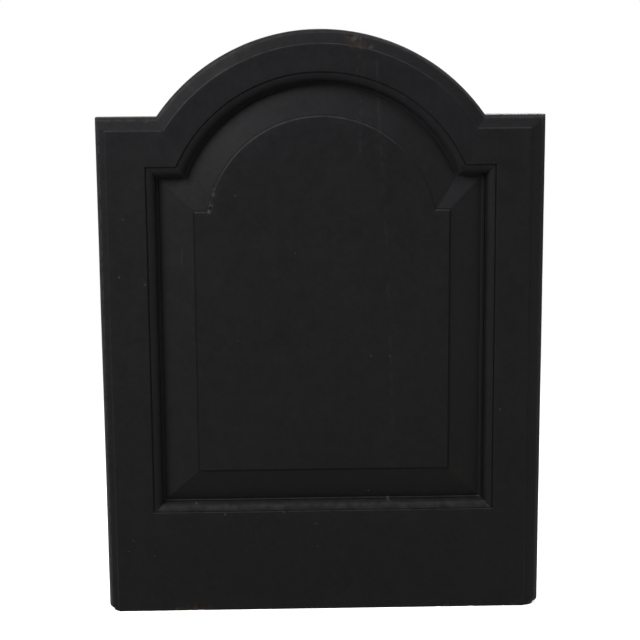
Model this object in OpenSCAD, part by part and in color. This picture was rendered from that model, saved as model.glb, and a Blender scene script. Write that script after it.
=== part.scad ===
// Cast-iron fireback: an arched, square-shouldered plate with a raised and fielded panel,
// standing on the hearth on its own plain bottom edge and steadied from behind by two
// bolted iron stays. Front faces -Y, up is +Z, and the origin is the middle of the
// casting's bottom face.

/* [Plate outline] */
// Overall width of the casting
plate_w = 600; // [570:1:700]
// Overall height to the top of the arch
plate_h = 800; // [760:1:900]
// Height of the square shoulders beside the arch
shoulder_h = 687; // [660:1:700]
// Radius of the arched head
arch_r = 268; // [250:1:280]
// Overall thickness, front face to back rim
plate_t = 32; // [30:1:40]
// Radius of the two bottom corners
foot_corner_r = 12; // [4:1:20]

/* [Outer edge moulding] */
// Distance from the outer edge to the flat of the frame
edge_w = 17; // [16:0.5:24]
// Radius of the quarter round along the edge
edge_round_r = 14.5; // [10:0.5:15]
// Depth of the step between the flat and the quarter round
edge_step = 3; // [1:0.5:5]
// Rounding of the frame's outer arris
edge_arris_r = 2; // [0.5:0.5:3]

/* [Frame] */
// Width of the flat side members, outer edge to opening
stile_w = 62.5; // [56:0.5:72]
// Height of the rails under the shoulders
shoulder_rail_h = 62.5; // [56:0.5:80]
// Width of the band that follows the arch
arch_band_w = 51; // [46:0.5:60]
// Height of the plain bottom rail
bottom_rail_h = 138; // [120:1:160]

/* [Inner moulding] */
// Rounding of the frame's inner arris
arris_r = 3; // [1:0.5:4]
// Width of the quirk floor between arris and ovolo
quirk_w = 1; // [0.5:0.5:3]
// Radius of the ovolo
ovolo_r = 10.5; // [8:0.5:11]
// Drop from the foot of the ovolo to the fillet
ovolo_drop = 1; // [0.5:0.5:2]
// Width of the fillet below the ovolo
fillet_w = 3.5; // [2:0.5:6]
// Depth of the groove floor below the frame's face
groove_depth = 18; // [16:0.5:20]
// Width of the groove floor at the foot of the bevel
groove_w = 1; // [0.5:0.5:3]

/* [Raised panel] */
// Width of the bevelled margin round the field
bevel_w = 46; // [36:1:56]
// Height of the small step at the edge of the field
field_step = 2; // [1:0.5:3]
// Draft across the field's step
field_draft = 0.5; // [0.2:0.1:1]
// Height of the field above the frame's face
field_rise = 0; // [0:0.5:4]

/* [Hollow back] */
// Metal thickness of the plate
wall_t = 12; // [10:0.5:13]
// Width of the stiffening rim round the back
rim_w = 16; // [14:1:24]
// How far the ridge behind the moulding reaches past the opening
ridge_side = 6; // [4:1:10]

/* [Stay bosses] */
// Diameter of each boss on the back
boss_d = 36; // [30:1:44]
// Height of the lower bosses above the hearth
low_boss_z = 72; // [60:1:84]
// Height of the upper bosses above the hearth
high_boss_z = 236; // [230:1:260]
// Distance of the stays from the middle of the plate
stay_x = 150; // [100:1:150]
// Depth of each tapped hole
tapped_depth = 20; // [18:1:22]

/* [Back stays] */
// Width of the flat bar
stay_w = 32; // [28:1:36]
// Thickness of the flat bar
stay_t = 6; // [5:0.5:8]
// Bar left above the upper bolt
stay_end = 24; // [18:1:30]
// How far each foot reaches behind the casting
foot_l = 120; // [90:1:160]
// Inner radius of the bend
bend_r = 8; // [4:0.5:12]
// Diameter of the hearth fixing hole
fixing_hole_d = 13; // [9:0.5:14]
// Distance of the fixing hole from the end of the foot
fixing_hole_end = 28; // [22:1:34]

/* [Stay bolts] */
// Shank diameter
bolt_d = 10; // [8:1:12]
// Shank length under the head
bolt_l = 25; // [22:1:27]
// Head size across the flats
head_af = 17; // [16:0.5:19]
// Head height
head_h = 6.5; // [5:0.5:8]
// Washer outside diameter
washer_d = 21; // [20:1:26]
// Washer thickness
washer_t = 2; // [1.5:0.5:3]
// Diameter clearance of the shank in its tapped hole
thread_play = 0.4; // [0.2:0.1:0.6]
// Diameter clearance of the shank in stay and washer
hole_play = 1; // [0.4:0.1:1.5]

/* [Hidden] */
$fn = 96;

arch_cz = plate_h - arch_r;
open_half_w = plate_w / 2 - stile_w;
open_low = bottom_rail_h;
open_high = shoulder_h - shoulder_rail_h;
open_r = arch_r - arch_band_w;

quirk_foot = arris_r + quirk_w;
ovolo_foot = quirk_foot + ovolo_r;
fillet_edge = ovolo_foot + fillet_w;
fillet_depth = arris_r + ovolo_r + ovolo_drop;
bevel_foot = fillet_edge + groove_w;
field_edge = bevel_foot + bevel_w;
bevel_top = field_rise - field_step;

edge_depth = edge_step + edge_round_r;
bevel_slope = bevel_w / (groove_depth + bevel_top);

half_t = plate_t / 2;
stay_back = plate_t + stay_t;
washer_back = stay_back + washer_t;
stay_h = high_boss_z + stay_end;
fixing_hole_y = plate_t + foot_l - fixing_hole_end;
head_corner_d = head_af / cos(30);
head_chamfer = head_h / 5;
shank_tip = bolt_d / 8;
end_r = stay_w / 2;

// A cut runs this far past the face that it opens
past = 1;

iron = [0.13, 0.13, 0.14];
steel = [0.34, 0.33, 0.32];
zinc = [0.55, 0.55, 0.54];

// The plate is drawn lying on its back: X across, Y up the plate, Z out of the face at 0.
// This stands it up with its front towards -Y and half its thickness each side of Y = 0.
module stand_up() {
  translate([0, -half_t, 0]) rotate([90, 0, 0]) children();
}

// The first child is the section across the plate and the second is the section up it.
// Where the two meet, their mouldings mitre by themselves.
module across_and_up() {
  intersection() {
    translate([0, plate_h / 2, 0])
      rotate([90, 0, 0])
        linear_extrude(height = 2 * plate_h, center = true) children(0);
    rotate([90, 0, 90])
      linear_extrude(height = 2 * plate_w, center = true) children(1);
  }
}

// The same section turned about the middle of the arch
module round_arch() {
  translate([0, arch_cz, 0]) rotate_extrude() intersection() {
    children();
    translate([0, -2 * plate_t]) square([plate_w, 4 * plate_t]);
  }
}

// What the outer edge moulding takes off a square corner, X inwards from the edge
module edge_cut_2d() {
  difference() {
    union() {
      translate([-past, -edge_depth]) square([edge_w + past, edge_depth + past]);
      translate([edge_w - past, -edge_arris_r])
        square([edge_arris_r + past, edge_arris_r + past]);
    }
    translate([edge_round_r, -edge_depth]) circle(r = edge_round_r);
    translate([edge_round_r, -edge_depth]) square([edge_w - edge_round_r, edge_round_r]);
    translate([edge_w + edge_arris_r, -edge_arris_r]) circle(r = edge_arris_r);
  }
}

// Section of the plate from one outer edge to the other
module plate_section(low, high, low_moulded) {
  difference() {
    translate([low, -plate_t]) square([high - low, plate_t]);
    if (low_moulded) translate([low, 0]) edge_cut_2d();
    translate([high, 0]) mirror([1, 0]) edge_cut_2d();
  }
}

// The blank: square shoulders and arch, edge moulding on all but the bottom
module plate_blank() {
  difference() {
    union() {
      across_and_up() {
        plate_section(-plate_w / 2, plate_w / 2, true);
        plate_section(0, shoulder_h, false);
      }
      round_arch() plate_section(-arch_r, arch_r, true);
    }
    for (flip = [0, 1]) mirror([flip, 0, 0]) bottom_corner_cut();
  }
}

// What the rounding takes off one bottom corner
module bottom_corner_cut() {
  translate([plate_w / 2 - foot_corner_r, 0, -plate_t - past])
    linear_extrude(height = plate_t + 2 * past) difference() {
      translate([0, -past]) square([foot_corner_r + past, foot_corner_r + past]);
      translate([0, foot_corner_r]) circle(r = foot_corner_r);
    }
}

// The moulding that stands round the opening, X inwards from the edge of the flat
module inner_moulding_2d() {
  intersection() {
    union() {
      translate([0, -arris_r]) circle(r = arris_r);
      translate([-arris_r, -groove_depth]) square([arris_r + quirk_foot, groove_depth - arris_r]);
      translate([quirk_foot, -arris_r - ovolo_r]) circle(r = ovolo_r);
      translate([0, -groove_depth]) square([ovolo_foot, groove_depth - arris_r - ovolo_r]);
      translate([0, -groove_depth]) square([fillet_edge, groove_depth - fillet_depth]);
    }
    translate([-past, -groove_depth]) square([fillet_edge + past, groove_depth]);
  }
}

// Section of the sunk opening between two edges of the frame's flat
module sinking_section(low, high) {
  difference() {
    translate([low, -groove_depth]) square([high - low, groove_depth + past]);
    translate([low, 0]) inner_moulding_2d();
    translate([high, 0]) mirror([1, 0]) inner_moulding_2d();
  }
}

// The opening in the frame, down to the groove floor
module sinking() {
  across_and_up() {
    sinking_section(-open_half_w, open_half_w);
    sinking_section(open_low, open_high);
  }
  round_arch() sinking_section(-open_r, open_r);
}

// Section of the raised panel between the same two edges
module panel_section(low, high) {
  polygon([
    [low + bevel_foot, -groove_depth - past],
    [low + bevel_foot, -groove_depth],
    [low + field_edge - field_draft, bevel_top],
    [low + field_edge, field_rise],
    [high - field_edge, field_rise],
    [high - field_edge + field_draft, bevel_top],
    [high - bevel_foot, -groove_depth],
    [high - bevel_foot, -groove_depth - past]
  ]);
}

// The raised panel: bevelled margin, small step and flat field
module raised_panel() {
  across_and_up() {
    panel_section(-open_half_w, open_half_w);
    panel_section(open_low, open_high);
  }
  round_arch() panel_section(-open_r, open_r);
}

// Section of the hollow behind the panel, one wall thickness behind the bevel
module panel_hollow_section(low, high) {
  reach = bevel_slope * (plate_t + past - groove_depth - wall_t);
  polygon([
    [low + bevel_foot - reach, -plate_t - past],
    [low + field_edge, bevel_top - wall_t],
    [high - field_edge, bevel_top - wall_t],
    [high - bevel_foot + reach, -plate_t - past]
  ]);
}

// The hollow behind the panel
module panel_hollow() {
  across_and_up() {
    panel_hollow_section(-open_half_w, open_half_w);
    panel_hollow_section(open_low, open_high);
  }
  round_arch() panel_hollow_section(-open_r, open_r);
}

// The plate's own outline, drawn in by an even margin
module plate_outline(inset) {
  translate([inset - plate_w / 2, inset]) square([plate_w - 2 * inset, shoulder_h - 2 * inset]);
  translate([0, arch_cz]) circle(r = arch_r - inset);
}

// The opening's outline, let out by an even margin
module opening_outline(margin) {
  translate([-open_half_w - margin, open_low - margin])
    square([2 * (open_half_w + margin), open_high - open_low + 2 * margin]);
  translate([0, arch_cz]) circle(r = open_r + margin);
}

// The channel behind the frame, between the back rim and the moulding's ridge
module frame_hollow() {
  translate([0, 0, -plate_t - past])
    linear_extrude(height = plate_t + past - wall_t) difference() {
      plate_outline(rim_w);
      opening_outline(ridge_side);
    }
}

// Where the bolts go: two on each side, one above the other
module each_bolt() {
  for (side = [-1, 1], height = [low_boss_z, high_boss_z])
    translate([side * stay_x, height, 0]) children();
}

module fireback_casting() {
  color(iron) stand_up() difference() {
    union() {
      difference() {
        union() {
          difference() {
            plate_blank();
            sinking();
          }
          raised_panel();
        }
        frame_hollow();
        panel_hollow();
      }
      each_bolt() translate([0, 0, -plate_t]) cylinder(d = boss_d, h = plate_t - wall_t / 2);
    }
    each_bolt() translate([0, 0, -plate_t - past])
      cylinder(d = bolt_d + thread_play, h = tapped_depth + past);
  }
}

// Side view of the bent bar: X runs back from the casting's face and Y runs up
module stay_side_2d() {
  outer_r = bend_r + stay_t;
  translate([plate_t, outer_r]) square([stay_t, stay_h - outer_r]);
  translate([plate_t + outer_r, 0]) square([foot_l - outer_r, stay_t]);
  intersection() {
    translate([plate_t + outer_r, outer_r]) difference() {
      circle(r = outer_r);
      circle(r = bend_r);
    }
    translate([plate_t, 0]) square([outer_r, outer_r]);
  }
}

// One flat bar bent to an L, its ends rounded, drilled for two bolts and one hearth fixing
module stay() {
  difference() {
    intersection() {
      rotate([90, 0, -90]) mirror([1, 0, 0]) translate([-half_t, 0, 0])
        linear_extrude(height = stay_w, center = true) stay_side_2d();
      union() {
        translate([0, half_t - past, stay_h - end_r]) rotate([-90, 0, 0])
          cylinder(d = stay_w, h = foot_l);
        translate([-stay_w, half_t - past, -past])
          cube([2 * stay_w, foot_l - end_r + past, stay_h - end_r + past]);
        translate([0, half_t + foot_l - end_r, -past]) cylinder(d = stay_w, h = stay_h / 2);
      }
    }
    for (height = [low_boss_z, high_boss_z])
      translate([0, half_t - past, height]) rotate([-90, 0, 0])
        cylinder(d = bolt_d + hole_play, h = stay_t + 2 * past);
    translate([0, fixing_hole_y - half_t, -past])
      cylinder(d = fixing_hole_d, h = stay_t + 2 * past);
  }
}

module left_stay() {
  color(steel) translate([-stay_x, 0, 0]) stay();
}

module right_stay() {
  color(steel) translate([stay_x, 0, 0]) stay();
}

// Hexagon-headed bolts, their shanks in the tapped bosses
module stay_bolts() {
  color(zinc) stand_up() each_bolt() translate([0, 0, -washer_back]) {
    intersection() {
      translate([0, 0, -head_h]) cylinder(d = head_corner_d, h = head_h, $fn = 6);
      union() {
        translate([0, 0, -head_h])
          cylinder(d1 = head_af - head_chamfer, d2 = head_corner_d + head_chamfer, h = head_chamfer);
        translate([0, 0, head_chamfer - head_h])
          cylinder(d = head_corner_d + head_chamfer, h = head_h - head_chamfer);
      }
    }
    cylinder(d = bolt_d, h = bolt_l - shank_tip);
    translate([0, 0, bolt_l - shank_tip])
      cylinder(d1 = bolt_d, d2 = bolt_d - 2 * shank_tip, h = shank_tip);
  }
}

// Flat washers between the bolt heads and the stays
module stay_washers() {
  color(zinc) stand_up() each_bolt() translate([0, 0, -washer_back]) difference() {
    cylinder(d = washer_d, h = washer_t);
    translate([0, 0, -past]) cylinder(d = bolt_d + hole_play, h = washer_t + 2 * past);
  }
}

fireback_casting();
left_stay();
right_stay();
stay_bolts();
stay_washers();
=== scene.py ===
import math

import bmesh
import bpy
from mathutils import Euler, Matrix, Vector, noise


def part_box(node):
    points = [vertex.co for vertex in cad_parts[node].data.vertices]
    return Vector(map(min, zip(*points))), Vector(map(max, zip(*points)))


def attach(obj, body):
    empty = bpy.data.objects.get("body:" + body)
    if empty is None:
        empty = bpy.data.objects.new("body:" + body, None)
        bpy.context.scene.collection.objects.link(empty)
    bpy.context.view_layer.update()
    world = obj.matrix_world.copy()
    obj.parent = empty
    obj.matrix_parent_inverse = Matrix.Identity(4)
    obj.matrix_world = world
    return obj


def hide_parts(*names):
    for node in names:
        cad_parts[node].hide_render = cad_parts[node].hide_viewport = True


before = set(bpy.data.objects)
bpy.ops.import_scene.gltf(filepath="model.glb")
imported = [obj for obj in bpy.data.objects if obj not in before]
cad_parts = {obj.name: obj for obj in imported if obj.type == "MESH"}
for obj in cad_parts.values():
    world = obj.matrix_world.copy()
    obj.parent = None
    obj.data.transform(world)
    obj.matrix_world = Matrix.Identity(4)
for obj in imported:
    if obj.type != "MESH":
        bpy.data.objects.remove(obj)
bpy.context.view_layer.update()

# ------------------------------------------------------------------ the casting
# The fireback itself: one plate of grey iron poured in sand, about 12 mm thick. Its mouldings
# and raised panel stand on the front, and a rim and a ridge stiffen the hollow back.
# It stands on its own bottom edge, and four bosses behind it take the stays' bolts.
casting_low, casting_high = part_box("fireback_casting")
face_y, rim_y = casting_low.y, casting_high.y
half_width = casting_high.x
arch_radius = 0.268
arch_z = casting_high.z - arch_radius
shoulder_z = 0.686

# The lines that the section follows round the plate. Each is the distance from the middle to
# its left and right sides, the heights of its foot and shoulders, and its arch's radius. The
# outer ones run on below the hearth, and are cut off there.
below_hearth = 0.06
plate_edge = (half_width, half_width, -below_hearth, shoulder_z, arch_radius)
band_edge = (0.2864, 0.2795, -below_hearth, 0.6685, 0.2496)
opening = (0.2366, 0.2366, 0.1408, 0.6226, 0.2151)
ovolo_top = (0.2327, 0.2327, 0.1436, 0.6187, 0.2112)
ovolo_foot = (0.2214, 0.222, 0.1539, 0.6073, 0.1996)
crease = (0.2204, 0.221, 0.1541, 0.6063, 0.1986)
bead_rise = (0.2197, 0.2203, 0.1545, 0.6056, 0.1979)
bead_edge = (0.2192, 0.216, 0.1566, 0.6045, 0.1963)
field = (0.1696, 0.1714, 0.203, 0.559, 0.1536)
step_foot = (0.1705, 0.1723, 0.2021, 0.5608, 0.1556)

# How finely each line is divided, so that it can carry the unevenness of a sand casting
arch_steps = 110
shoulder_cuts, side_cuts, foot_cuts = 13, 130, 100

plate = bmesh.new()


def moved_in(outline, distance):
    """An outline moved towards the middle of the panel."""
    left, right, low, shoulder, radius = outline
    return (left - distance, right - distance, low + distance, shoulder - distance,
            radius - distance)


def set_in(left, right, top):
    """An outline inside the plate's own edge, by amounts for its left, its right and its top."""
    return (half_width - left, half_width - right, -below_hearth, shoulder_z - top,
            arch_radius - top)


def footed(outline, low):
    """An outline with its foot moved to another height."""
    left, right, _, shoulder, radius = outline
    return (left, right, low, shoulder, radius)


def part_way(one, other, share):
    """An outline part of the way from one to another."""
    return [a + share * (b - a) for a, b in zip(one, other)]


def drawn(outline, depth):
    """Draws an outline at some depth behind the face of the plate, and returns its edges."""
    left, right, low, shoulder, radius = outline
    y = face_y + depth
    spring = math.asin((shoulder - arch_z) / radius)
    before = set(plate.edges)
    start = plate.verts.new((radius * math.cos(spring), y, shoulder))
    end = bmesh.ops.spin(
        plate, geom=[start], cent=(0, y, arch_z), axis=(0, -1, 0),
        angle=math.pi - 2 * spring, steps=arch_steps)["geom_last"][0]
    corners = [plate.verts.new((x, y, z)) for x, z in (
        (-left, shoulder), (-left, low), (right, low), (right, shoulder))]
    runs = [plate.edges.new(ends) for ends in zip([end, *corners], [*corners, start])]
    all_cuts = (shoulder_cuts, side_cuts, foot_cuts, side_cuts, shoulder_cuts)
    for run, cuts in zip(runs, all_cuts):
        bmesh.ops.subdivide_edges(plate, edges=[run], cuts=cuts)
    return [e for e in plate.edges if e not in before]


# The section, from the field outwards over the front and then back inwards behind it. Every
# depth is measured from the face of the plate.
wall, field_step, bead_top, crease_floor = 0.012, 0.002, 0.0146, 0.0156
rim, ridge_side, ridge_inside = 0.016, 0.006, 0.01325
casting_draft = 0.001
back = rim_y - face_y
sink = 0.0002  # no face of the casting is dead flat

# The field with its edge rounded off, and the low step round it with a line scribed at its foot
bevel_head, bevel_foot = moved_in(step_foot, -0.0014), moved_in(bead_edge, 0.0006)
scribed = [
    drawn(step_foot, field_step + 0.0004),
    drawn(moved_in(step_foot, -0.0007), field_step + 0.0005),
]
lines = [
    drawn(moved_in(field, 0.0007), 0),
    drawn(moved_in(field, 0.0002), 0.0001),
    drawn(field, 0.0006),
    *scribed,
    drawn(bevel_head, field_step + sink),
]

# The panel's bevel, which falls to a bead, then the crease, the ovolo and the quirk over it
for share in (0.25, 0.5, 0.75, 1):
    depth = field_step + sink + share * (crease_floor - field_step)
    lines.append(drawn(part_way(bevel_head, bevel_foot, share), depth))
bead_inside = drawn(bead_edge, bead_top)
bead_outside = drawn(bead_rise, bead_top + 0.0001)
creased = [drawn(crease, crease_floor), drawn(ovolo_foot, crease_floor - sink)]
ovolo_corner = drawn(ovolo_foot, 0.0036)
border_edge = moved_in(opening, 0.002)
inner_arris = drawn(border_edge, 0)
lines += [
    bead_inside,
    bead_outside,
    *creased,
    ovolo_corner,
    drawn(ovolo_top, 0.0013),
    drawn(part_way(ovolo_top, border_edge, 0.4), 0.0024),
    drawn(part_way(ovolo_top, border_edge, 0.8), 0.0023),
    inner_arris,
]

# The flat border, a little hollow between its arrises, and the band that curves back from it
for share, hollow in ((0.8, 0.00015), (0.6, 0.0003), (0.4, 0.0004), (0.2, 0.0002)):
    lines.append(drawn(part_way(band_edge, opening, share), hollow))
outer_arris = drawn(band_edge, 0)
band_middle = drawn(set_in(0.0044, 0.0105, 0.0115), 0.0034)
edge_round = drawn(set_in(0.0028, 0.005, 0.0035), 0.006)
side_arris = drawn(plate_edge, 0.0115)
back_arris = drawn(plate_edge, back)
lines += [
    outer_arris,
    drawn(moved_in(band_edge, -0.0012), 0.0016),
    band_middle,
    edge_round,
    side_arris,
    back_arris,
]

# Behind, the rim and the hollow inside it, the ridge and the recess at the back of the panel
lines += [
    drawn(footed(moved_in(plate_edge, rim), rim), back - sink),
    drawn(footed(moved_in(plate_edge, rim + casting_draft), rim + casting_draft), wall),
    drawn(moved_in(opening, -ridge_side - casting_draft), wall + sink),
    drawn(moved_in(opening, -ridge_side), back),
    drawn(moved_in(opening, ridge_inside), back - sink),
    drawn(field, wall + field_step),
]
for line, neighbour in zip(lines, lines[1:]):
    bmesh.ops.bridge_loops(plate, edges=line + neighbour)

# Old finish partly fills the crease, except on the right, and the scribed line round the arch
arch_foot = field[3] + 0.004
in_crease = {v for e in creased[0] + creased[1] for v in e.verts if v.co.x < bead_edge[1]}
in_scribed = {v for e in scribed[0] + scribed[1] for v in e.verts if v.co.z > arch_foot}
for filled_in, caked in ((in_crease, 0.0007), (in_scribed, 0.0003)):
    bmesh.ops.translate(plate, verts=list(filled_in), vec=(0, -caked, 0))

# The square members are rounded off
for line, radius, steps in (
    (bead_inside, 0.0008, 5),
    (bead_outside, 0.0004, 3),
    (ovolo_corner, 0.0098, 10),
    (inner_arris, 0.0014, 7),
    (outer_arris, 0.0012, 6),
    (band_middle, 0.0025, 3),
    (edge_round, 0.0014, 5),
    (side_arris, 0.0009, 4),
    (back_arris, 0.0015, 4),
):
    bmesh.ops.bevel(plate, geom=line, offset=radius, offset_type="OFFSET", segments=steps,
                    profile=0.5, affect="EDGES", material=-1)

# The bottom is cut flat on the hearth
bmesh.ops.bisect_plane(
    plate, geom=plate.verts[:] + plate.edges[:] + plate.faces[:], dist=1e-6,
    plane_co=(0, 0, 0), plane_no=(0, 0, -1), clear_outer=True)


def cut_across(faces, places, direction):
    """Splits faces along a row of parallel planes, and returns all of the parts."""
    parts = set(faces)
    for face in faces:
        parts.update(face.edges, face.verts)
    for place in places:
        parts = bmesh.ops.bisect_plane(
            plate, geom=list(parts), dist=1e-5, plane_co=direction * place,
            plane_no=direction)["geom"]
    return [part for part in parts if isinstance(part, bmesh.types.BMFace)]


def fill(is_there):
    """Closes the open loop whose points all pass the test."""
    rim_edges = [e for e in plate.edges if e.is_boundary and all(map(is_there, e.verts))]
    return bmesh.ops.contextual_create(plate, geom=rim_edges)["faces"]


# The field, the recess behind it and the foot are closed. The large flats, the bottom rail's
# too, are cut into a grid, so that they can carry the unevenness.
across, upwards = Vector((1, 0, 0)), Vector((0, 0, 1))
grid = 0.012
hair = 0.001  # anything nearer than this to a level counts as on it
columns, rows = int(max(field[:2]) / grid), int(casting_high.z / grid)
for in_loop in (lambda v: v.co.y < face_y + hair and v.co.z > opening[2],
                lambda v: v.co.y > face_y + wall and v.co.z > opening[2]):
    filled = cut_across(fill(in_loop), [grid * i for i in range(-columns, columns + 1)], across)
    cut_across(filled, [grid * i for i in range(rows)], upwards)
fill(lambda v: v.co.z < hair)

rail = [f for f in plate.faces if -band_edge[0] < f.calc_center_median().x < band_edge[1]
        and all(v.co.z < opening[2] and v.co.y < face_y + hair for v in f.verts)]
cut_across(rail, [grid * i for i in range(1, int(opening[2] / grid))], upwards)

# The two bottom corners are worn round, more along the foot than up the sides
corner_wide, corner_tall = 0.02, 0.0075
corner_x = half_width - corner_wide
near_foot = 0.05
turns = [1 - math.sin(math.radians(a)) for a in (15, 30, 45, 60, 75)] + [1]
low_faces = [f for f in plate.faces if all(v.co.z < near_foot for v in f.verts)]
low_faces = cut_across(low_faces, [corner_tall * share for share in turns], upwards)
low_faces = [f for f in low_faces if all(v.co.z < corner_tall + hair for v in f.verts)]
for side in (-1, 1):
    places = [side * (half_width - corner_wide * share) for share in turns]
    low_faces = cut_across(low_faces, places, across)
for vert in plate.verts:
    out, down = (abs(vert.co.x) - corner_x) / corner_wide, 1 - vert.co.z / corner_tall
    if out > 0 and down > 0:
        drawn_in = max(out, down) / math.hypot(out, down)
        vert.co.x = math.copysign(corner_x + out * drawn_in * corner_wide, vert.co.x)
        vert.co.z = corner_tall * (1 - down * drawn_in)
bmesh.ops.recalc_face_normals(plate, faces=plate.faces[:])

# Chips, given as across, up, how far they reach and how deep they go
chips = (
    (-0.1484, 0.5635, 0.0042, 0.0016), (0.041, 0.7905, 0.006, 0.0012),
    (0.051, 0.7835, 0.004, 0.0008), (-0.232, 0.6845, 0.005, 0.0009),
    (-0.172, 0.003, 0.006, 0.0015), (-0.187, 0.002, 0.004, 0.001),
    (0.205, 0.002, 0.006, 0.0012), (0.252, 0.003, 0.004, 0.001), (0.16, 0.001, 0.005, 0.0008),
)
surround = 1.4  # how far round a chip the faces are cut smaller, in times its reach
for x, z, reach, depth in chips:
    close = [f for f in plate.faces if f.calc_center_median().y < 0
             and math.hypot(f.calc_center_median().x - x,
                            f.calc_center_median().z - z) < reach * surround]
    bmesh.ops.subdivide_edges(plate, edges=list({e for f in close for e in f.edges}),
                              cuts=2, use_grid_fill=True)

# No line of a sand casting is quite true, and no chip is quite round. Each stray is given as
# the waves in a metre and how far they go. The seed is set, or it would come from the clock.
noise.seed_set(1)
long_waves, long_stray = 9, 0.0002
short_waves, short_stray = 45, 0.0001
ragged_waves, raggedness = 400, 0.5
slack = 0.0001  # taken off all round, as room for the strays
for vert in plate.verts:
    point = vert.co.copy()
    stray = (noise.noise_vector(point * long_waves) * long_stray
             + noise.noise_vector(point * short_waves) * short_stray)
    for x, z, reach, depth in chips:
        away = math.hypot(point.x - x, point.z - z) / reach
        away += raggedness * noise.noise(point * ragged_waves)
        if point.y < 0 and away < 1:
            stray.y += depth * (1 - away * away)
    if point.z < 1e-5:
        stray.z = 0
    point += stray
    point.x *= 1 - slack / half_width
    point.y *= 1 - slack / rim_y
    point.z *= 1 - slack / casting_high.z
    vert.co = point
    vert.co.x = min(max(vert.co.x, casting_low.x), casting_high.x)
    vert.co.y = min(max(vert.co.y, face_y), rim_y)
    vert.co.z = min(max(vert.co.z, 0), casting_high.z)

casting_mesh = bpy.data.meshes.new("fireback_plate")
plate.to_mesh(casting_mesh)
plate.free()
casting = bpy.data.objects.new("fireback_plate", casting_mesh)
bpy.context.collection.objects.link(casting)


def circle(part, centre, radius, y, steps=48):
    """Draws one circle of a turned shape whose axis runs along Y."""
    before = set(part.edges)
    start = part.verts.new((centre[0] + radius, y, centre[1]))
    bmesh.ops.spin(part, geom=[start], cent=(centre[0], y, centre[1]), axis=(0, 1, 0),
                   angle=2 * math.pi, steps=steps, use_merge=True)
    return [e for e in part.edges if e not in before]


def closed(part, circles):
    """Joins a row of circles, each to the next, and closes both ends."""
    for one, other in zip(circles, circles[1:]):
        bmesh.ops.bridge_loops(part, edges=one + other)
    for end in (circles[0], circles[-1]):
        bmesh.ops.contextual_create(part, geom=end)


# The bosses are cast with the plate and drilled and tapped from behind
boss_r, tapping_r = 0.018, 0.0052
stay_x, bolt_heights = 0.15, (0.072, 0.236)
bosses = bmesh.new()
for boss_z, floor_y in zip(bolt_heights, (face_y + wall, face_y + wall + field_step)):
    for boss_x in (-stay_x, stay_x):
        closed(bosses, [circle(bosses, (boss_x, boss_z), radius, y) for radius, y in (
            (boss_r + 0.004, floor_y - 0.002),
            (boss_r + 0.003, floor_y + 0.0001),
            (boss_r + 0.0012, floor_y + 0.0008),
            (boss_r + 0.0003, floor_y + 0.002),
            (boss_r, floor_y + 0.004),
            (boss_r - 0.0001, rim_y - 0.0015),
            (boss_r - 0.0006, rim_y - 0.0005),
            (boss_r - 0.0016, rim_y),
            (tapping_r + 0.0008, rim_y - 0.0001),
            (tapping_r, rim_y - 0.0009),
            (tapping_r - 0.0001, floor_y + 0.0005),
        )])
bmesh.ops.recalc_face_normals(bosses, faces=bosses.faces[:])
boss_mesh = bpy.data.meshes.new("bosses")
bosses.to_mesh(boss_mesh)
bosses.free()
boss_object = bpy.data.objects.new("bosses", boss_mesh)
bpy.context.collection.objects.link(boss_object)
join = casting.modifiers.new("bosses", "BOOLEAN")
join.operation = "UNION"
join.solver = "EXACT"
join.object = boss_object
with_bosses = casting.evaluated_get(bpy.context.evaluated_depsgraph_get())
casting_mesh = bpy.data.meshes.new_from_object(with_bosses)
casting.modifiers.clear()
casting.data = casting_mesh
bpy.data.objects.remove(boss_object)


def soften(mesh, sharp_above=14):
    """Smooth shading, with an edge kept sharp where the faces turn further than an angle."""
    for polygon in mesh.polygons:
        polygon.use_smooth = True
    mesh.set_sharp_from_angle(angle=math.radians(sharp_above))


def mark_edges(mesh):
    """Writes on each point of a mesh how tightly the surface turns outwards there, in 1/m."""
    shape = bmesh.new()
    shape.from_mesh(mesh)
    turning = mesh.attributes.new("turning", "FLOAT", "POINT")
    for vert in shape.verts:
        tightest = 0
        for edge in vert.link_edges:
            breadth = sum(f.calc_area() for f in edge.link_faces) / edge.calc_length() / 2
            tightest = max(tightest, edge.calc_face_angle_signed(0) / max(breadth, 1e-5))
        turning.data[vert.index].value = tightest
    shape.free()


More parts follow.
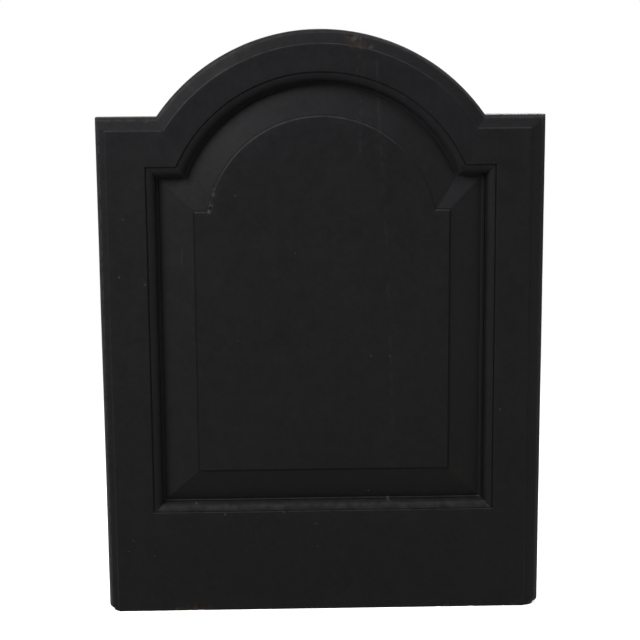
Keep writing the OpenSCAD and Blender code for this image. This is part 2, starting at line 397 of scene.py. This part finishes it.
class Finish:
    """A material whose look is worked out from the place on the piece, in metres."""

    def __init__(self, name):
        self.material = bpy.data.materials.new(name)
        self.material.use_nodes = True
        self.nodes = self.material.node_tree.nodes
        self.links = self.material.node_tree.links
        self.shader = self.nodes["Principled BSDF"]
        coordinates = self.nodes.new("ShaderNodeTexCoord")
        self.place = coordinates.outputs["Object"]
        self.x, self.y, self.z = self.apart(self.place)
        self.facing = self.apart(coordinates.outputs["Normal"])
        attribute = self.nodes.new("ShaderNodeAttribute")
        attribute.attribute_name = "turning"
        self.turning = attribute.outputs["Fac"]

    def feed(self, socket, value):
        """Links a socket to another, or sets it to a number or a colour."""
        if isinstance(value, bpy.types.NodeSocket):
            self.links.new(value, socket)
        else:
            socket.default_value = value

    def apart(self, vector):
        """The three parts of a vector."""
        parts = self.nodes.new("ShaderNodeSeparateXYZ")
        self.links.new(vector, parts.inputs[0])
        return parts.outputs

    def work(self, operation, one, other=0.0):
        """One step of arithmetic on one or two numbers."""
        node = self.nodes.new("ShaderNodeMath")
        node.operation = operation
        self.feed(node.inputs[0], one)
        self.feed(node.inputs[1], other)
        return node.outputs[0]

    def product(self, first, *others):
        """Several numbers multiplied together."""
        for other in others:
            first = self.work("MULTIPLY", first, other)
        return first

    def uneven(self, level, *parts):
        """A level that goes up and down with lumps of several sizes, each with its strength."""
        for lumps, strength in parts:
            part = self.work("MULTIPLY", self.work("SUBTRACT", lumps, 0.5), strength)
            level = self.work("ADD", level, part)
        return level

    def vector(self, operation, one, other):
        """One step of arithmetic on two vectors."""
        node = self.nodes.new("ShaderNodeVectorMath")
        node.operation = operation
        self.feed(node.inputs[0], one)
        self.feed(node.inputs[1], other)
        return node.outputs["Value" if operation == "DISTANCE" else "Vector"]

    def ramp(self, value, low, high, start=0.0, end=1.0):
        """Goes smoothly from start to end while the value goes from low to high."""
        node = self.nodes.new("ShaderNodeMapRange")
        node.interpolation_type = "SMOOTHSTEP"
        self.links.new(value, node.inputs["Value"])
        for name, bound in (("From Min", low), ("From Max", high),
                            ("To Min", start), ("To Max", end)):
            node.inputs[name].default_value = bound
        return node.outputs[0]

    def lumps(self, size, detail=2.0):
        """Noise round one half, with lumps of about a given size."""
        texture = self.nodes.new("ShaderNodeTexNoise")
        texture.inputs["Scale"].default_value = 0.5
        texture.inputs["Detail"].default_value = detail
        scaled = self.vector("MULTIPLY", self.place, [1 / size] * 3)
        self.links.new(scaled, texture.inputs["Vector"])
        return texture.outputs["Fac"]

    def mix(self, share, one, other):
        """One colour shading into another."""
        node = self.nodes.new("ShaderNodeMix")
        node.data_type = "RGBA"
        self.feed(node.inputs["Factor"], share)
        for name, colour in (("A", one), ("B", other)):
            socket = [i for i in node.inputs if i.name == name and i.type == "RGBA"][0]
            self.feed(socket, (*colour, 1) if isinstance(colour, tuple) else colour)
        return [o for o in node.outputs if o.type == "RGBA"][0]

    def laid(self, colour, where, thickness, coat):
        """A colour with a coat of another laid over it, no thicker than a given share."""
        return self.mix(self.work("MULTIPLY", where, thickness), colour, coat)

    def dim(self, colour, amount):
        """A colour made darker or lighter."""
        node = self.nodes.new("ShaderNodeVectorMath")
        node.operation = "SCALE"
        self.feed(node.inputs[0], colour)
        self.feed(node.inputs["Scale"], amount)
        return node.outputs["Vector"]

    def roughen(self, heights):
        """Bumps of a height in metres."""
        node = self.nodes.new("ShaderNodeBump")
        node.inputs["Distance"].default_value = 1
        self.links.new(heights, node.inputs["Height"])
        self.links.new(node.outputs[0], self.shader.inputs["Normal"])


soften(casting_mesh)
mark_edges(casting_mesh)

iron = Finish("black_iron")
blotches, mottle = iron.lumps(0.07, 3), iron.lumps(0.012, 3)
grain, fine_grain = iron.lumps(0.0032, 2), iron.lumps(0.0011, 1)

# Black stove finish, made a little bluer towards the top by a painted cool sheen, and darker
# towards the bottom by painted shade
stove_black, painted_sky_sheen_black = (0.0084, 0.0084, 0.0083), (0.0082, 0.0083, 0.009)
black = iron.mix(iron.ramp(iron.z, 0.45, 0.68), stove_black, painted_sky_sheen_black)
colour = iron.dim(black, iron.uneven(
    iron.ramp(iron.z, 0.02, 0.4, 0.84, 1.0),
    (blotches, 0.32), (mottle, 0.45), (grain, 0.6), (fine_grain, 0.4)))

# Pale dust, with a painted highlight of the light from above, where the iron faces up and on the
# steeper parts of the bottom moulding
bottom_dust_and_sheen = iron.product(iron.ramp(iron.z, 0.158, 0.1565), iron.ramp(iron.facing[2], 0.1, 0.35))
dust_and_sheen = iron.product(
    iron.work("MAXIMUM", iron.ramp(iron.facing[2], 0.31, 0.55), bottom_dust_and_sheen),
    iron.ramp(iron.facing[2], 0.62, 0.97, 1.0, 0.25),
    iron.ramp(iron.lumps(0.005, 3), 0.3, 0.68))
colour = iron.laid(colour, dust_and_sheen, 0.65, (0.021, 0.021, 0.0212))

# The finish is worn thin round the plate's edge, and a painted highlight brightens it there, less
# where that faces left or up. The plate's sides are sooty
worn_and_highlight = iron.product(
    iron.work("MAXIMUM", iron.ramp(iron.turning, 300, 220),
              iron.ramp(iron.facing[2], 0.05, 0.3, 0.0, 0.2)),
    iron.ramp(iron.turning, 110, 150),
    iron.ramp(iron.facing[0], -0.6, 0.3, 0.5, 1.0),
    iron.ramp(iron.facing[1], -0.95, -0.88),
    iron.ramp(iron.facing[2], 0.1, 0.5, 1.0, 0.3),
    iron.ramp(iron.lumps(0.006, 3), 0.34, 0.58))
colour = iron.laid(colour, worn_and_highlight, 0.85, (0.034, 0.0342, 0.035))
sooty = iron.ramp(iron.work("ABSOLUTE", iron.facing[0]), 0.84, 0.95)
colour = iron.laid(colour, sooty, 0.8, (0.0035, 0.0035, 0.0038))

# Marks on the front are listed across and up, with rims made ragged by noise
wander = iron.nodes.new("ShaderNodeTexNoise")
wander.inputs["Scale"].default_value = 260
iron.links.new(iron.place, wander.inputs["Vector"])
ragged_by = 0.005
aside = iron.vector("SUBTRACT", wander.outputs["Color"], (0.5, 0.5, 0.5))
aside = iron.vector("MULTIPLY", aside, (ragged_by, 0, ragged_by))
ragged = iron.vector("ADD", iron.vector("MULTIPLY", iron.place, (1, 0, 1)), aside)
front = iron.ramp(iron.y, 0.004, 0.002)


def spots(places):
    """1 on each of several round spots, given as across, up and radius."""
    shown = 0.0
    for x, z, radius in places:
        near = iron.ramp(iron.vector("DISTANCE", ragged, (x, 0, z)), radius, radius * 0.3)
        shown = iron.work("MAXIMUM", shown, near)
    return iron.work("MULTIPLY", shown, front)


def streak(x, low, high, width, lean):
    """1 down a run of drips, which starts at the top and leans over as it comes down."""
    up = iron.ramp(iron.z, low, high)
    middle = iron.work("ADD", iron.work("MULTIPLY", iron.work("POWER", up, 2.0), lean), x)
    middle = iron.work("ADD", middle, iron.work("MULTIPLY", iron.lumps(0.05), 0.006))
    off_line = iron.work("ABSOLUTE", iron.work("SUBTRACT", iron.x, middle))
    return iron.product(
        iron.ramp(off_line, width, width * 0.2), front,
        iron.ramp(iron.z, low, low + 0.03), iron.ramp(iron.z, high, high - 0.01))


# Brown rust round the chips and at the left of the foot, and bare iron in chips and in specks
rust = spots((
    (-0.1492, 0.5625, 0.0055), (-0.1476, 0.5705, 0.0062), (0.038, 0.79, 0.011),
    (0.0475, 0.785, 0.011), (0.0415, 0.7775, 0.006), (0.056, 0.779, 0.007),
    (0.0895, 0.155, 0.0058), (-0.198, 0.003, 0.006), (-0.19, 0.004, 0.008),
    (-0.18, 0.004, 0.008), (-0.17, 0.004, 0.008), (-0.16, 0.003, 0.007),
))
rust = iron.product(rust, iron.ramp(iron.lumps(0.0028, 2), 0.32, 0.56))
colour = iron.laid(colour, rust, 0.8, (0.022, 0.0152, 0.0116))
bare = spots((
    (-0.1505, 0.5606, 0.0034), (-0.1475, 0.5695, 0.0032), (0.0893, 0.1555, 0.0032),
    (0.063, 0.167, 0.0025), (-0.176, 0.153, 0.0016), (-0.1365, 0.1395, 0.0024),
    (-0.114, 0.145, 0.0013), (-0.055, 0.141, 0.0016), (-0.265, 0.552, 0.0018),
    (-0.273, 0.473, 0.0018), (-0.238, 0.463, 0.0018), (-0.115, 0.384, 0.0016),
    (0.091, 0.361, 0.002), (0.066, 0.362, 0.0016), (0.243, 0.284, 0.0017),
    (-0.27, 0.088, 0.0016), (-0.264, 0.103, 0.0014), (-0.011, 0.124, 0.0014),
    (-0.009, 0.092, 0.0014), (-0.115, 0.582, 0.0014), (-0.035, 0.504, 0.0012),
    (-0.234, 0.08, 0.0014), (0.217, 0.156, 0.0026),
))
colour = iron.laid(colour, bare, 0.85, (0.042, 0.0395, 0.0375))

# Edges are rubbed by the chips, and a painted highlight runs down the moulding's bottom right
# mitre. The arch's left is chafed, with a painted sheen, and the bevel has a painted bluish sheen
# at the right shoulder.
rubbed = spots((
    (-0.1447, 0.583, 0.004), (-0.1435, 0.59, 0.003), (0.217, 0.1565, 0.0036),
    (0.2205, 0.1535, 0.003), (0.2245, 0.1498, 0.0028), (0.2285, 0.1462, 0.0028),
    (0.2325, 0.1428, 0.0032),
    (0.0535, 0.777, 0.0045), (0.0345, 0.795, 0.005), (0.0445, 0.789, 0.007),
    (0.0545, 0.786, 0.006), (0.066, 0.778, 0.006), (-0.179, 0.001, 0.006),
    (-0.166, 0.001, 0.005), (-0.191, 0.001, 0.005), (-0.205, 0.001, 0.005),
))
rubbed = iron.product(rubbed, iron.ramp(iron.lumps(0.0036, 2), 0.42, 0.6))
colour = iron.laid(colour, rubbed, 0.75, (0.031, 0.0297, 0.0275))
# Partly wear, partly a painted sheen on the upward-facing part of the arch's left band
chafed_and_sheen = spots(((-0.187, 0.711, 0.02), (-0.165, 0.731, 0.026), (-0.138, 0.751, 0.026),
                (-0.108, 0.768, 0.02), (-0.205, 0.694, 0.014)))
chafed_and_sheen = iron.product(chafed_and_sheen, iron.ramp(iron.facing[2], 0.15, 0.3),
                      iron.ramp(iron.lumps(0.009, 3), 0.3, 0.7))
colour = iron.laid(colour, chafed_and_sheen, 0.55, (0.021, 0.0211, 0.0215))
# A painted bluish sheen on the bevel at the right shoulder, where it faces a little up
painted_bevel_sheen = spots(((0.164, 0.572, 0.018), (0.178, 0.584, 0.018), (0.193, 0.597, 0.016)))
painted_bevel_sheen = iron.product(painted_bevel_sheen, iron.ramp(iron.facing[2], 0.12, 0.22))
colour = iron.laid(colour, painted_bevel_sheen, 0.8, (0.0106, 0.0104, 0.0124))

# The foot is worn at the right
foot_wear = iron.product(iron.ramp(iron.z, 0.011, 0.004), iron.ramp(iron.x, 0.13, 0.16),
                         iron.ramp(iron.lumps(0.008, 4), 0.5, 0.62))
colour = iron.laid(colour, foot_wear, 0.6, (0.022, 0.0225, 0.02))

# Two runs of dried drips from the top, with a drop here and there, one upright scratch and a
# few yellowish smears
runs = streak(0.049, 0.61, 0.775, 0.003, 0.006)
runs = iron.work("MAXIMUM", runs, streak(0.091, 0.17, 0.77, 0.0028, -0.019))
runs = iron.product(runs, iron.ramp(iron.lumps(0.006, 2), 0.4, 0.7))
drops = spots((
    (0.0505, 0.7645, 0.0026), (0.048, 0.7465, 0.003), (0.053, 0.705, 0.002),
    (0.054, 0.688, 0.002), (0.057, 0.649, 0.0018), (0.0725, 0.7575, 0.0034),
    (0.0735, 0.734, 0.0024), (0.0745, 0.66, 0.002), (0.0855, 0.632, 0.002),
    (0.0865, 0.604, 0.0018), (0.057, 0.626, 0.0016),
))
runs = iron.work("MAXIMUM", runs, drops)
colour = iron.laid(colour, runs, 0.5, (0.017, 0.0169, 0.0166))
scratch = iron.product(streak(-0.192, 0.47, 0.515, 0.0014, 0.0),
                       iron.ramp(iron.lumps(0.003, 2), 0.3, 0.6))
colour = iron.laid(colour, scratch, 0.7, (0.02, 0.02, 0.02))
smear = spots(((0.1775, 0.197, 0.009), (0.179, 0.189, 0.008), (-0.286, 0.46, 0.006),
               (-0.288, 0.4, 0.006)))
colour = iron.laid(colour, smear, 0.45, (0.0105, 0.0104, 0.0078))

# Faint specks all over, a few of them in each square decimetre
flat_place = iron.nodes.new("ShaderNodeCombineXYZ")
iron.links.new(iron.x, flat_place.inputs[0])
iron.links.new(iron.z, flat_place.inputs[1])
cells = iron.nodes.new("ShaderNodeTexVoronoi")
cells.voronoi_dimensions = "2D"
cells.inputs["Scale"].default_value = 55
iron.links.new(flat_place.outputs[0], cells.inputs["Vector"])
chosen = iron.ramp(iron.apart(cells.outputs["Color"])[0], 0.8, 1.0)
specks = iron.product(iron.ramp(cells.outputs["Distance"], 0.06, 0.02), chosen)
colour = iron.laid(colour, specks, 0.5, (0.02, 0.02, 0.0205))

# The back is left as it was cast: dull grey, with a thin bloom of rust
behind = iron.ramp(iron.facing[1], 0.0, 0.5)
as_cast = iron.dim((0.021, 0.0195, 0.018), iron.ramp(blotches, 0.3, 0.7, 0.75, 1.2))
bloom = iron.product(iron.ramp(blotches, 0.48, 0.66), iron.ramp(mottle, 0.35, 0.6))
as_cast = iron.laid(as_cast, bloom, 0.7, (0.033, 0.0185, 0.0115))
as_cast = iron.dim(as_cast, iron.ramp(grain, 0.3, 0.7, 0.8, 1.2))
colour = iron.mix(behind, colour, as_cast)

# Thick old finish is dull, duller on rust and a little brighter along the worn edges with their
# painted highlight
iron.links.new(colour, iron.shader.inputs["Base Color"])
roughness = iron.work("ADD", iron.work("MULTIPLY", mottle, 0.24), 0.43)
roughness = iron.work("ADD", roughness, iron.work("MULTIPLY", rust, 0.25))
roughness = iron.work("SUBTRACT", roughness, iron.work("MULTIPLY", worn_and_highlight, 0.08))
iron.links.new(roughness, iron.shader.inputs["Roughness"])
iron.shader.inputs["Specular IOR Level"].default_value = 0.058
skin = iron.work("MULTIPLY", grain, 0.00009)
for lumps, height in ((fine_grain, 0.00006), (mottle, 0.00012), (bare, -0.0001)):
    skin = iron.work("ADD", skin, iron.work("MULTIPLY", lumps, height))
iron.roughen(skin)
casting_mesh.materials.append(iron.material)

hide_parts("fireback_casting")
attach(casting, "root")

# ------------------------------------------------------------------ the back stays
# Two lengths of hot-rolled flat bar, each sheared with round ends, drilled and bent to an L.
# The leg is bolted to two bosses, and the foot lies on the hearth with a hole for a fixing.
stay_low, stay_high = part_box("left_stay")
bar_thick, inner_bend = 0.006, 0.008
bar_half = (stay_high.x - stay_low.x) / 2
outer_bend = inner_bend + bar_thick
leg = stay_high.z - outer_bend
foot = stay_high.y - stay_low.y - outer_bend
round_the_bend = (inner_bend + bar_thick / 2) * math.pi / 2
bolt_hole_r, fixing_hole_r = 0.0055, 0.0065
fixing_y = 0.108
end_steps, bend_steps = 32, 16
stay_arris = 0.0006


def bent(x, thickness, along):
    """Where a point of the straight bar comes to lie once the bar is bent."""
    from_middle = outer_bend - thickness
    turn = min(max((along - leg) / round_the_bend, 0), 1) * math.pi / 2
    y = stay_low.y + outer_bend - from_middle * math.cos(turn)
    z = outer_bend - from_middle * math.sin(turn)
    return Vector((x, y + max(along - leg - round_the_bend, 0), z + max(leg - along, 0)))


def make_stay(name, middle):
    """Cuts, drills, softens and bends one bar, drawn flat with its length down Z."""
    bar = bmesh.new()
    length = leg + round_the_bend + foot
    ends = []
    for end_z, turn in ((-bar_half, -1), (bar_half - length, 1)):
        start = bar.verts.new((bar_half, 0, end_z))
        last = bmesh.ops.spin(bar, geom=[start], cent=(0, 0, end_z), axis=(0, turn, 0),
                              angle=math.pi, steps=end_steps)["geom_last"][0]
        ends.append((start, last))
    for one, other in zip(*ends):
        bar.edges.new((one, other))
    fixing_along = leg + round_the_bend + fixing_y - stay_low.y - outer_bend
    holes = [(stay_high.z - height, bolt_hole_r) for height in bolt_heights]
    for along, radius in (*holes, (fixing_along, fixing_hole_r)):
        circle(bar, (0, -along), radius, 0)
    bmesh.ops.triangle_fill(bar, use_beauty=True, edges=bar.edges[:])
    for step in range(bend_steps + 1):
        bmesh.ops.bisect_plane(
            bar, geom=bar.verts[:] + bar.edges[:] + bar.faces[:], dist=1e-6,
            plane_co=(0, 0, -leg - round_the_bend * step / bend_steps), plane_no=(0, 0, 1))
    sheet = bmesh.ops.extrude_face_region(bar, geom=bar.faces[:])["geom"]
    moved = [part for part in sheet if isinstance(part, bmesh.types.BMVert)]
    bmesh.ops.translate(bar, verts=moved, vec=(0, bar_thick, 0))
    bmesh.ops.recalc_face_normals(bar, faces=bar.faces[:])
    square = [e for e in bar.edges if e.calc_face_angle(0) > math.radians(60)]
    bmesh.ops.bevel(bar, geom=square, offset=stay_arris, offset_type="OFFSET", segments=3,
                    profile=0.5, affect="EDGES", clamp_overlap=True, material=-1)
    for vert in bar.verts:
        vert.co = bent(middle + vert.co.x, vert.co.y, -vert.co.z)
    mesh = bpy.data.meshes.new(name)
    bar.to_mesh(mesh)
    bar.free()
    soften(mesh, 35)
    stay = bpy.data.objects.new(name, mesh)
    bpy.context.collection.objects.link(stay)
    return stay


# Matt black paint over mill scale: dusty on top, rubbed at the edges and rusting through
paint = Finish("stay_paint")
broad, scale_marks, pimples = paint.lumps(0.03, 3), paint.lumps(0.006, 3), paint.lumps(0.0012, 2)
paint_black = (0.0135, 0.0134, 0.0132)
colour = paint.dim(paint_black, paint.uneven(1.0, (broad, 0.5), (scale_marks, 0.5)))
settled = paint.product(paint.ramp(paint.facing[2], 0.5, 0.95), broad)
colour = paint.laid(colour, settled, 0.6, (0.03, 0.029, 0.027))
rubbed = paint.product(paint.ramp(paint.turning, 500, 1200),
                       paint.ramp(scale_marks, 0.42, 0.62))
colour = paint.laid(colour, rubbed, 0.8, (0.055, 0.05, 0.046))
rusted = paint.ramp(paint.product(broad, scale_marks), 0.33, 0.42)
colour = paint.laid(colour, rusted, 0.6, (0.045, 0.021, 0.011))
paint.links.new(colour, paint.shader.inputs["Base Color"])
paint.links.new(paint.ramp(scale_marks, 0.3, 0.7, 0.5, 0.72), paint.shader.inputs["Roughness"])
paint.shader.inputs["Specular IOR Level"].default_value = 0.3
paint.roughen(paint.work("ADD", paint.work("MULTIPLY", pimples, 0.00006),
                         paint.work("MULTIPLY", scale_marks, 0.0001)))

for name, node, middle in (("left_bar", "left_stay", -stay_x), ("right_bar", "right_stay", stay_x)):
    stay = make_stay(name, middle)
    stay.data.materials.append(paint.material)
    mark_edges(stay.data)
    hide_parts(node)
    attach(stay, "root")

# ------------------------------------------------------------------ the washers
# Four plain round washers, punched from mild steel sheet and left unpainted. One lies flat on
# the stay under the head of each bolt.
washer_thick = 0.002
washer_back = stay_low.y + bar_thick
washer_face = washer_back + washer_thick
washer_r, washer_hole = 0.0105, 0.0055
bolt_places = [(x, height) for height in bolt_heights for x in (-stay_x, stay_x)]

washers = bmesh.new()
for bolt_place in bolt_places:
    circles = [circle(washers, bolt_place, radius, y) for radius, y in (
        (washer_hole, washer_back + 0.0003),
        (washer_hole + 0.0003, washer_back),
        (washer_r - 0.0003, washer_back + 0.00002),
        (washer_r, washer_back + 0.0003),
        (washer_r - 0.00002, washer_face - 0.0006),
        (washer_r - 0.0002, washer_face - 0.0002),
        (washer_r - 0.0006, washer_face),
        (washer_hole + 0.0003, washer_face - 0.00002),
        (washer_hole + 0.00002, washer_face - 0.0003),
    )]
    for one, other in zip(circles, circles[1:] + circles[:1]):
        bmesh.ops.bridge_loops(washers, edges=one + other)

# Dulled plain steel, with turning marks round each bolt's axis, pale edges and oxide in blotches
steel = Finish("dulled_steel")
tarnish, pits = steel.lumps(0.004, 3), steel.lumps(0.0012, 2)
from_axis_x = steel.work("SUBTRACT", steel.work("ABSOLUTE", steel.x), stay_x)
from_axes_z = [steel.work("ABSOLUTE", steel.work("SUBTRACT", steel.z, z)) for z in bolt_heights]
from_axis_z = steel.work("MINIMUM", *from_axes_z)
from_axis = steel.work("SQRT", steel.work("ADD", steel.work("POWER", from_axis_x, 2.0),
                                          steel.work("POWER", from_axis_z, 2.0)))
mark_spacing = 0.0004
marks = steel.work("SINE", steel.work("MULTIPLY", from_axis, 2 * math.pi / mark_spacing))
colour = steel.dim((0.3, 0.29, 0.27), steel.ramp(tarnish, 0.3, 0.7, 0.7, 1.15))
bright_edge = steel.ramp(steel.turning, 500, 1500)
colour = steel.laid(colour, bright_edge, 0.4, (0.5, 0.49, 0.47))
oxide = steel.ramp(steel.product(tarnish, pits), 0.3, 0.38)
colour = steel.laid(colour, oxide, 0.7, (0.11, 0.06, 0.035))
steel.links.new(colour, steel.shader.inputs["Base Color"])
steel.links.new(steel.ramp(oxide, 0.0, 1.0, 1.0, 0.5), steel.shader.inputs["Metallic"])
steel.links.new(steel.ramp(tarnish, 0.3, 0.7, 0.36, 0.55), steel.shader.inputs["Roughness"])
steel.roughen(steel.work("ADD", steel.work("MULTIPLY", marks, 0.000003),
                         steel.work("MULTIPLY", pits, 0.00003)))


def fitted(name, node, pieces):
    """Makes four steel fasteners into one object, which takes the place of a CAD node."""
    bmesh.ops.recalc_face_normals(pieces, faces=pieces.faces[:])
    mesh = bpy.data.meshes.new(name)
    pieces.to_mesh(mesh)
    pieces.free()
    soften(mesh, 25)
    mark_edges(mesh)
    mesh.materials.append(steel.material)
    fasteners = bpy.data.objects.new(name, mesh)
    bpy.context.collection.objects.link(fasteners)
    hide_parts(node)
    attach(fasteners, "root")


fitted("plain_washers", "stay_washers", washers)

# ------------------------------------------------------------------ the bolts
# Four steel bolts with forged hexagon heads, of the same dulled steel as the washers. Each runs
# through its stay into the tapped boss behind, and clamps the stay to the casting.
bolt_r, bolt_length = 0.005, 0.025
tip = 0.00125
head_half, head_high = 0.0085, 0.0065
head_top = washer_face + head_high
head_flat = head_half - 0.0006
chamfer = math.radians(30)


def hexagon(line, centre, chamfered):
    """Draws a circle out to six flats, and may lower what the chamfer takes off its corners."""
    for vert in {v for e in line for v in e.verts}:
        arm = Vector((vert.co.x - centre[0], 0, vert.co.z - centre[1]))
        turn = math.degrees(math.atan2(arm.z, arm.x)) % 60 - 30
        reach = head_half / math.cos(math.radians(turn))
        vert.co.x = centre[0] + arm.normalized().x * reach
        vert.co.z = centre[1] + arm.normalized().z * reach
        if chamfered:
            vert.co.y -= (reach - head_flat) * math.tan(chamfer)


bolts = bmesh.new()
for bolt_place in bolt_places:
    circles = [circle(bolts, bolt_place, radius, y) for radius, y in (
        (bolt_r - tip, washer_face - bolt_length),
        (bolt_r, washer_face - bolt_length + tip),
        (bolt_r - 0.00002, washer_face - 0.0001),
        (head_flat, washer_face),
        (head_half, washer_face + 0.0004),
        (head_half, head_top),
        (head_flat, head_top),
        (head_flat - 0.0008, head_top - 0.0002),
    )]
    under_head, over_head = circles[4:6]
    hexagon(under_head, bolt_place, False)
    hexagon(over_head, bolt_place, True)
    closed(bolts, circles)
fitted("hexagon_bolts", "stay_bolts", bolts)

# ------------------------------------------------------------------ the studio
# A plain pale floor that runs out of sight, soft light from high on the left, and a camera
# where the photograph was taken from, a little higher than the top of the plate.
floor_reach = 400
floor_mesh = bpy.data.meshes.new("floor")
ground = bmesh.new()
bmesh.ops.create_grid(ground, x_segments=1, y_segments=1, size=floor_reach)
ground.to_mesh(floor_mesh)
ground.free()
floor = bpy.data.objects.new("floor", floor_mesh)
bpy.context.collection.objects.link(floor)

# To the camera the floor is white, and keeps the plate's shadow only close to it. To all other
# light it is a dull grey, so that little light comes up from it onto the iron.
shadow_fades, shadow_ends = 0.5, 1.6
pale = bpy.data.materials.new("pale_floor")
pale.use_nodes = True
pale_nodes, pale_links = pale.node_tree.nodes, pale.node_tree.links
pale_nodes.clear()


def seen_plainly(nodes, links):
    """1 where the camera sees a thing, straight or in a reflection or through glass."""
    path = nodes.new("ShaderNodeLightPath")
    total = path.outputs["Is Camera Ray"]
    for ray in ("Is Glossy Ray", "Is Transmission Ray"):
        larger = nodes.new("ShaderNodeMath")
        larger.operation = "MAXIMUM"
        links.new(total, larger.inputs[0])
        links.new(path.outputs[ray], larger.inputs[1])
        total = larger.outputs[0]
    return total


matt = pale_nodes.new("ShaderNodeBsdfDiffuse")
matt.inputs["Color"].default_value = (0.15, 0.15, 0.15, 1)
lit = pale_nodes.new("ShaderNodeBsdfDiffuse")
lit.inputs["Color"].default_value = (0.8, 0.8, 0.8, 1)
glow = pale_nodes.new("ShaderNodeEmission")
glow.inputs["Strength"].default_value = 0.62
near_floor = pale_nodes.new("ShaderNodeAddShader")
pale_links.new(lit.outputs[0], near_floor.inputs[0])
pale_links.new(glow.outputs[0], near_floor.inputs[1])
white = pale_nodes.new("ShaderNodeEmission")
on_floor = pale_nodes.new("ShaderNodeTexCoord")
from_middle = pale_nodes.new("ShaderNodeVectorMath")
from_middle.operation = "LENGTH"
pale_links.new(on_floor.outputs["Object"], from_middle.inputs[0])
far = pale_nodes.new("ShaderNodeMapRange")
far.inputs["From Min"].default_value = shadow_fades
far.inputs["From Max"].default_value = shadow_ends
pale_links.new(from_middle.outputs["Value"], far.inputs["Value"])
bright = pale_nodes.new("ShaderNodeMixShader")
pale_links.new(far.outputs[0], bright.inputs[0])
pale_links.new(near_floor.outputs[0], bright.inputs[1])
pale_links.new(white.outputs[0], bright.inputs[2])
either = pale_nodes.new("ShaderNodeMixShader")
pale_links.new(seen_plainly(pale_nodes, pale_links), either.inputs[0])
pale_links.new(matt.outputs[0], either.inputs[1])
pale_links.new(bright.outputs[0], either.inputs[2])
floor_out = pale_nodes.new("ShaderNodeOutputMaterial")
pale_links.new(either.outputs[0], floor_out.inputs[0])
floor_mesh.materials.append(pale)

# The world too is white to the camera, and gives the iron only a little light from all round
faint_light = 0.03
world = bpy.data.worlds.new("studio")
bpy.context.scene.world = world
world.use_nodes = True
world_nodes, world_links = world.node_tree.nodes, world.node_tree.links
world_nodes.clear()
level = world_nodes.new("ShaderNodeMapRange")
level.inputs["To Min"].default_value = faint_light
level.inputs["To Max"].default_value = 1.0
world_links.new(seen_plainly(world_nodes, world_links), level.inputs["Value"])
sky = world_nodes.new("ShaderNodeBackground")
sky.inputs["Color"].default_value = (1, 1, 1, 1)
world_links.new(level.outputs[0], sky.inputs["Strength"])
world_out = world_nodes.new("ShaderNodeOutputWorld")
world_links.new(sky.outputs[0], world_out.inputs[0])

face_middle_z = 0.42


def soft_light(name, place, size, power, colour):
    """A large soft round light, turned towards the middle of the plate's face."""
    lamp = bpy.data.lights.new(name, "AREA")
    lamp.shape = "DISK"
    lamp.size = size
    lamp.energy = power
    lamp.color = colour
    light = bpy.data.objects.new(name, lamp)
    light.location = place
    back_along_beam = Vector(place) - Vector((0, face_y, face_middle_z))
    light.rotation_euler = back_along_beam.to_track_quat("Z", "Y").to_euler()
    bpy.context.collection.objects.link(light)


soft_light("key_light", (-1.4, -1.0, 1.76), 1.0, 67, (1, 1, 1))
soft_light("top_light", (0.6, -0.8, 2.4), 1.0, 25, (0.99, 1, 1.02))
soft_light("fill_light", (1.63, -1.0, 0.35), 1.0, 7.5, (1, 1, 1))
soft_light("back_light", (0.9, 2.3, 1.7), 1.8, 75, (1, 1, 1))

camera_data = bpy.data.cameras.new("camera")
camera_data.lens = 96.3
camera_data.shift_x = 0.0006
camera_data.sensor_width = 36
camera = bpy.data.objects.new("camera", camera_data)
camera.location = (-0.05765, -2.28897, 0.8603)
camera_yaw, camera_pitch, camera_roll = 1.36, -11.16, -0.39
aimed = Euler((math.radians(90 + camera_pitch), 0, math.radians(-camera_yaw))).to_matrix()
rolled = aimed @ Matrix.Rotation(math.radians(camera_roll), 3, "Z")
camera.rotation_euler = rolled.to_euler()
bpy.context.collection.objects.link(camera)
bpy.context.scene.camera = camera
bpy.context.scene.view_settings.view_transform = "Standard"
